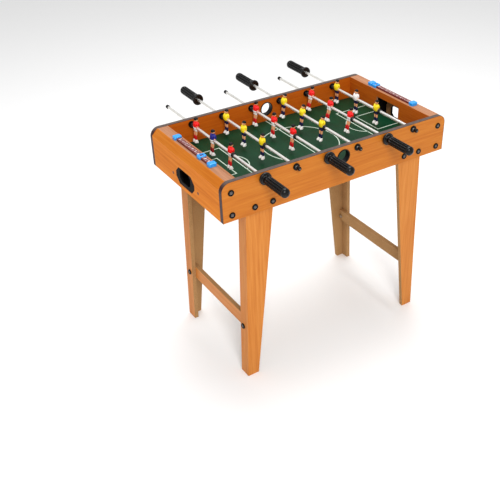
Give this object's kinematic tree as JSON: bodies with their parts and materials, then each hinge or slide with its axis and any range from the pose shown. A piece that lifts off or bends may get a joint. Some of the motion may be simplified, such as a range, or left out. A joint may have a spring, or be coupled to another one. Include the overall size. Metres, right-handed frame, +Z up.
{
  "type": "foosball table",
  "caption": "Free-standing children's foosball table: player rods that slide and spin across a green pitch, goals at the ends with ball return holes, and sliding score counters.",
  "frame": {"origin": "the point of the floor under the middle of the table", "axes": "+X along the table towards the yellow team's goal end on the right, +Y from the front long side to the back one, along the rods, +Z up"},
  "size_m": [0.69, 0.686, 0.6345],
  "materials": {
    "orange_laminate": "satin printed wood-grain laminate",
    "orange_leg_laminate": "satin printed wood-grain laminate",
    "raw_board": "bare pressed board",
    "raw_slat": "bare sawn wood",
    "pitch": "printed green film with white lines",
    "edge_band": "dark brown plastic edging",
    "black_plastic": "satin moulded plastic",
    "black_caps": "moulded bolt caps",
    "handle_black": "grippy moulded plastic",
    "rubber": "matt",
    "rod_steel": "plated",
    "nut_steel": "zinc plated",
    "screw": "yellow-brown plated",
    "blue_plastic": "moulded",
    "score_red": "dark red with white numbers",
    "red_players": "painted moulded plastic",
    "yellow_players": "painted moulded plastic"
  },
  "bodies": {
    "table": {"front_side_board": "orange_laminate", "back_side_board": "orange_laminate", "edge_bands": "edge_band", "left_outer_end_panel": "orange_laminate", "right_outer_end_panel": "orange_laminate", "left_goal_wall": "orange_laminate", "right_goal_wall": "orange_laminate", "left_top_slat": "raw_slat", "right_top_slat": "raw_slat", "end_cleats": "raw_board", "playfield": "pitch", "left_goal_box": "black_plastic", "right_goal_box": "black_plastic", "goal_box_screws": "screw", "front_left_leg": "orange_leg_laminate", "front_right_leg": "orange_leg_laminate", "back_left_leg": "orange_leg_laminate", "back_right_leg": "orange_leg_laminate", "left_stretcher": "raw_board", "right_stretcher": "raw_board", "stretcher_bolts": "black_caps", "side_board_bolts": "black_caps", "nuts": "nut_steel", "ball_entry_rings": "black_plastic", "rod_bushings": "black_plastic", "left_score_scale": "score_red", "right_score_scale": "score_red", "score_end_caps": "blue_plastic"},
    "left_score_slider": {"left_score_slider": "blue_plastic"},
    "right_score_slider": {"right_score_slider": "blue_plastic"},
    "rod_1_carriage": {"rod_1_bumpers": "rubber"},
    "rod_1": {"rod_1_tube": "rod_steel", "rod_1_players": "red_players", "rod_1_handle": "handle_black", "rod_1_end_cap": "handle_black"},
    "rod_2_carriage": {"rod_2_bumpers": "rubber"},
    "rod_2": {"rod_2_tube": "rod_steel", "rod_2_players": "yellow_players", "rod_2_handle": "handle_black", "rod_2_end_cap": "handle_black"},
    "rod_3_carriage": {"rod_3_bumpers": "rubber"},
    "rod_3": {"rod_3_tube": "rod_steel", "rod_3_players": "red_players", "rod_3_handle": "handle_black", "rod_3_end_cap": "handle_black"},
    "rod_4_carriage": {"rod_4_bumpers": "rubber"},
    "rod_4": {"rod_4_tube": "rod_steel", "rod_4_players": "yellow_players", "rod_4_handle": "handle_black", "rod_4_end_cap": "handle_black"},
    "rod_5_carriage": {"rod_5_bumpers": "rubber"},
    "rod_5": {"rod_5_tube": "rod_steel", "rod_5_players": "red_players", "rod_5_handle": "handle_black", "rod_5_end_cap": "handle_black"},
    "rod_6_carriage": {"rod_6_bumpers": "rubber"},
    "rod_6": {"rod_6_tube": "rod_steel", "rod_6_players": "yellow_players", "rod_6_handle": "handle_black", "rod_6_end_cap": "handle_black"}
  },
  "joints": [
    {"name": "rod_1_slide", "type": "slide", "parent": "table", "child": "rod_1_carriage", "axis": [0, 1, 0], "range_m": [-0.117, 0.0025]},
    {"name": "rod_1_spin", "type": "hinge", "parent": "rod_1_carriage", "child": "rod_1", "pos_m": [-0.23125, 0, 0.606], "axis": [0, 1, 0], "continuous": true},
    {"name": "rod_2_slide", "type": "slide", "parent": "table", "child": "rod_2_carriage", "axis": [0, 1, 0], "range_m": [-0.117, 0.0025]},
    {"name": "rod_2_spin", "type": "hinge", "parent": "rod_2_carriage", "child": "rod_2", "pos_m": [-0.13875, 0, 0.606], "axis": [0, 1, 0], "continuous": true},
    {"name": "rod_3_slide", "type": "slide", "parent": "table", "child": "rod_3_carriage", "axis": [0, 1, 0], "range_m": [-0.117, 0.0025]},
    {"name": "rod_3_spin", "type": "hinge", "parent": "rod_3_carriage", "child": "rod_3", "pos_m": [-0.04625, 0, 0.606], "axis": [0, 1, 0], "continuous": true},
    {"name": "rod_4_slide", "type": "slide", "parent": "table", "child": "rod_4_carriage", "axis": [0, 1, 0], "range_m": [-0.117, 0.0025]},
    {"name": "rod_4_spin", "type": "hinge", "parent": "rod_4_carriage", "child": "rod_4", "pos_m": [0.04625, 0, 0.606], "axis": [0, 1, 0], "continuous": true},
    {"name": "rod_5_slide", "type": "slide", "parent": "table", "child": "rod_5_carriage", "axis": [0, 1, 0], "range_m": [-0.117, 0.0025]},
    {"name": "rod_5_spin", "type": "hinge", "parent": "rod_5_carriage", "child": "rod_5", "pos_m": [0.13875, 0, 0.606], "axis": [0, 1, 0], "continuous": true},
    {"name": "rod_6_slide", "type": "slide", "parent": "table", "child": "rod_6_carriage", "axis": [0, 1, 0], "range_m": [-0.117, 0.0025]},
    {"name": "rod_6_spin", "type": "hinge", "parent": "rod_6_carriage", "child": "rod_6", "pos_m": [0.23125, 0, 0.606], "axis": [0, 1, 0], "continuous": true},
    {"name": "left_score_slide", "type": "slide", "parent": "table", "child": "left_score_slider", "axis": [0, 1, 0], "range_m": [-0.0325, 0.1105]},
    {"name": "right_score_slide", "type": "slide", "parent": "table", "child": "right_score_slider", "axis": [0, 1, 0], "range_m": [-0.142, 0.001]}
  ]
}
